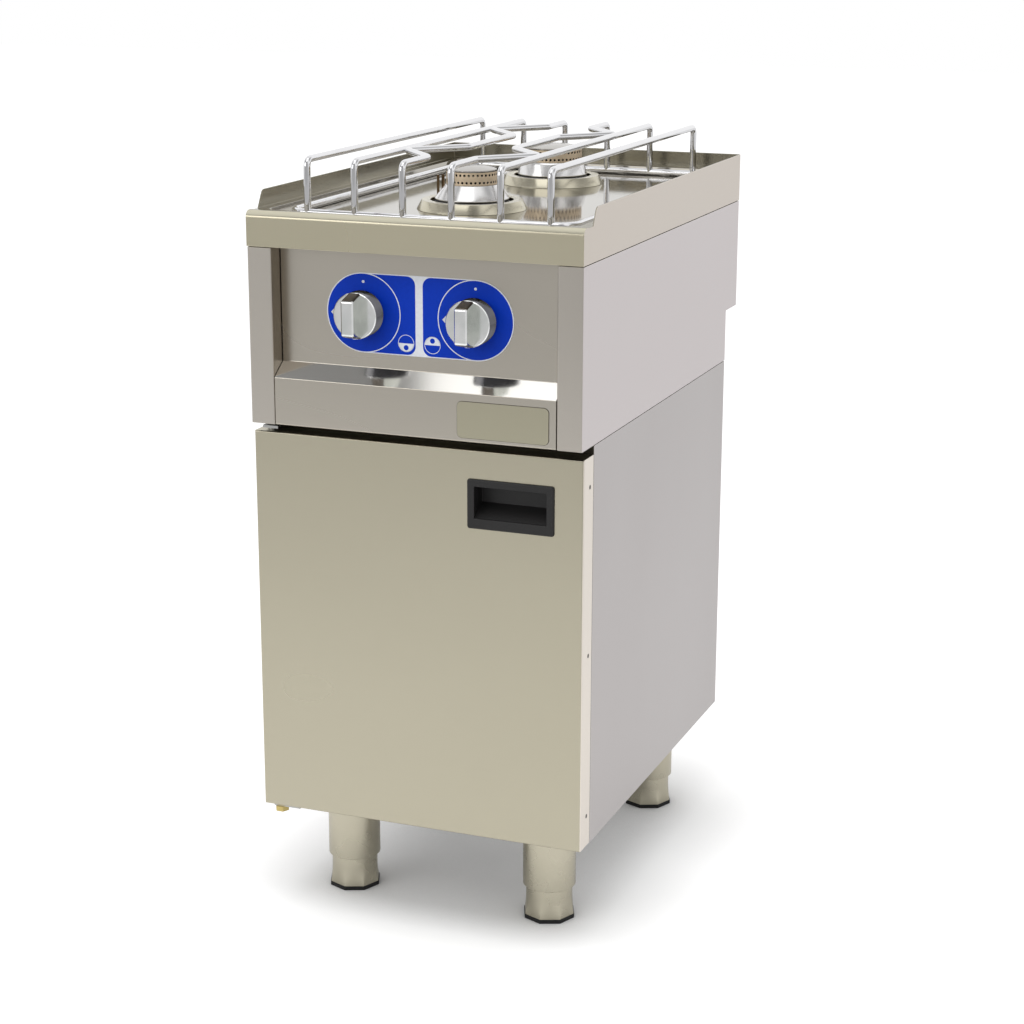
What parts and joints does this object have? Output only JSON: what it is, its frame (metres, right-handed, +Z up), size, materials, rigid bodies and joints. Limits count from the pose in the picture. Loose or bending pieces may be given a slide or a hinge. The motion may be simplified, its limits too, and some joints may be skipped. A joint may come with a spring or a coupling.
{
  "type": "gas stove",
  "caption": "Free-standing gas stove with round burners under a chrome rod pan support, push-and-turn knobs, and a cabinet base with a hinged door on adjustable feet.",
  "frame": {"origin": "on the floor, under the middle of the footprint that the knobs and the back span", "axes": "+X to the right of someone standing at the knobs, +Y from the knobs to the back, +Z up"},
  "size_m": [0.4, 0.622, 0.897],
  "materials": {
    "worktop_steel": "warm brushed and partly polished stainless steel",
    "side_steel": "fine brushed stainless steel",
    "panel_steel": "fine brushed stainless steel",
    "door_steel": "warm brushed stainless steel",
    "inner_steel": "dull mill-finish steel",
    "plate_steel": "bare satin plate",
    "label_blue": "royal blue film with white lines",
    "knob_silver": "satin silver",
    "spindle_steel": "turned steel",
    "tap_brass": "turned brass",
    "pipe_steel": "galvanised pipe",
    "cup_iron": "sand-cast iron",
    "ring_steel": "turned stainless steel",
    "polished_aluminium": "polished",
    "port_brass": "heat-tinted drilled ring",
    "feed_aluminium": "bent tube",
    "pilot_steel": "heat-tinted brown",
    "rod_chrome": "bright chrome",
    "leg_steel": "brushed tube",
    "foot_steel": "brushed",
    "pad_black": "black pad",
    "handle_black": "satin black moulding",
    "screw_dark": "dark screws",
    "hinge_brass": "yellow passivated",
    "hinge_steel": "zinc-plated"
  },
  "bodies": {
    "stove": {"worktop": "worktop_steel", "left_side_panel": "side_steel", "right_side_panel": "side_steel", "back_panel": "side_steel", "bottom_plate": "inner_steel", "control_panel": "panel_steel", "control_label": "label_blue", "badge_plate": "plate_steel", "left_gas_tap": "tap_brass", "right_gas_tap": "tap_brass", "gas_manifold": "pipe_steel", "inlet_lock_nuts": "pipe_steel", "front_burner_cup": "cup_iron", "rear_burner_cup": "cup_iron", "front_drip_ring": "ring_steel", "rear_drip_ring": "ring_steel", "front_burner_cone": "polished_aluminium", "rear_burner_cone": "polished_aluminium", "front_feed_pipe": "feed_aluminium", "rear_feed_pipe": "feed_aluminium", "injectors": "tap_brass", "pilots": "pilot_steel", "base_left_side": "side_steel", "base_right_side": "side_steel", "base_back": "inner_steel", "base_floor": "inner_steel", "base_rails": "inner_steel", "leg_tubes": "leg_steel", "door_catch": "handle_black", "top_hinge": "hinge_steel", "bottom_hinge": "hinge_steel", "hinge_nut_and_washer": "hinge_brass"},
    "door": {"door_skin": "door_steel", "door_liner": "inner_steel", "door_handle": "handle_black", "door_screws": "screw_dark", "door_bushes": "hinge_brass", "door_strike": "inner_steel"},
    "left_push": {"left_push_rod": "spindle_steel"},
    "left_control": {"left_knob": "knob_silver", "left_spindle": "spindle_steel"},
    "right_push": {"right_push_rod": "spindle_steel"},
    "right_control": {"right_knob": "knob_silver", "right_spindle": "spindle_steel"},
    "pan_support": {"support_loop": "rod_chrome", "support_straight_rods": "rod_chrome", "support_spread_rods": "rod_chrome"},
    "front_burner_head": {"front_flame_ring": "port_brass", "front_burner_lid": "polished_aluminium"},
    "rear_burner_head": {"rear_flame_ring": "port_brass", "rear_burner_lid": "polished_aluminium"},
    "front_left_adjuster": {"front_left_foot": "foot_steel", "front_left_pad": "pad_black"},
    "front_right_adjuster": {"front_right_foot": "foot_steel", "front_right_pad": "pad_black"},
    "rear_left_adjuster": {"rear_left_foot": "foot_steel", "rear_left_pad": "pad_black"},
    "rear_right_adjuster": {"rear_right_foot": "foot_steel", "rear_right_pad": "pad_black"}
  },
  "joints": [
    {"name": "door_hinge", "type": "hinge", "parent": "stove", "child": "door", "pos_m": [-0.183, -0.27, 0.358], "axis": [0, 0, -1], "range_deg": [0, 110]},
    {"name": "left_knob_push", "type": "slide", "parent": "stove", "child": "left_push", "axis": [0, 1, 0], "range_m": [0, 0.0035], "stiffness_N_per_m": 3000},
    {"name": "left_knob_turn", "type": "hinge", "parent": "left_push", "child": "left_control", "pos_m": [-0.0673, -0.266, 0.729], "axis": [0, -1, 0], "range_deg": [0, 180]},
    {"name": "right_knob_push", "type": "slide", "parent": "stove", "child": "right_push", "axis": [0, 1, 0], "range_m": [0, 0.0035], "stiffness_N_per_m": 3000},
    {"name": "right_knob_turn", "type": "hinge", "parent": "right_push", "child": "right_control", "pos_m": [0.0673, -0.266, 0.729], "axis": [0, -1, 0], "range_deg": [0, 180]},
    {"name": "pan_support_lift", "type": "slide", "parent": "stove", "child": "pan_support", "axis": [0, 0, 1], "range_m": [0, 0.12]},
    {"name": "front_burner_head_lift", "type": "slide", "parent": "stove", "child": "front_burner_head", "axis": [0, 0, 1], "range_m": [0, 0.006]},
    {"name": "rear_burner_head_lift", "type": "slide", "parent": "stove", "child": "rear_burner_head", "axis": [0, 0, 1], "range_m": [0, 0.006]},
    {"name": "front_left_foot_extend", "type": "slide", "parent": "stove", "child": "front_left_adjuster", "axis": [0, 0, -1], "range_m": [0, 0.03]},
    {"name": "front_right_foot_extend", "type": "slide", "parent": "stove", "child": "front_right_adjuster", "axis": [0, 0, -1], "range_m": [0, 0.03]},
    {"name": "rear_left_foot_extend", "type": "slide", "parent": "stove", "child": "rear_left_adjuster", "axis": [0, 0, -1], "range_m": [0, 0.03]},
    {"name": "rear_right_foot_extend", "type": "slide", "parent": "stove", "child": "rear_right_adjuster", "axis": [0, 0, -1], "range_m": [0, 0.03]}
  ]
}
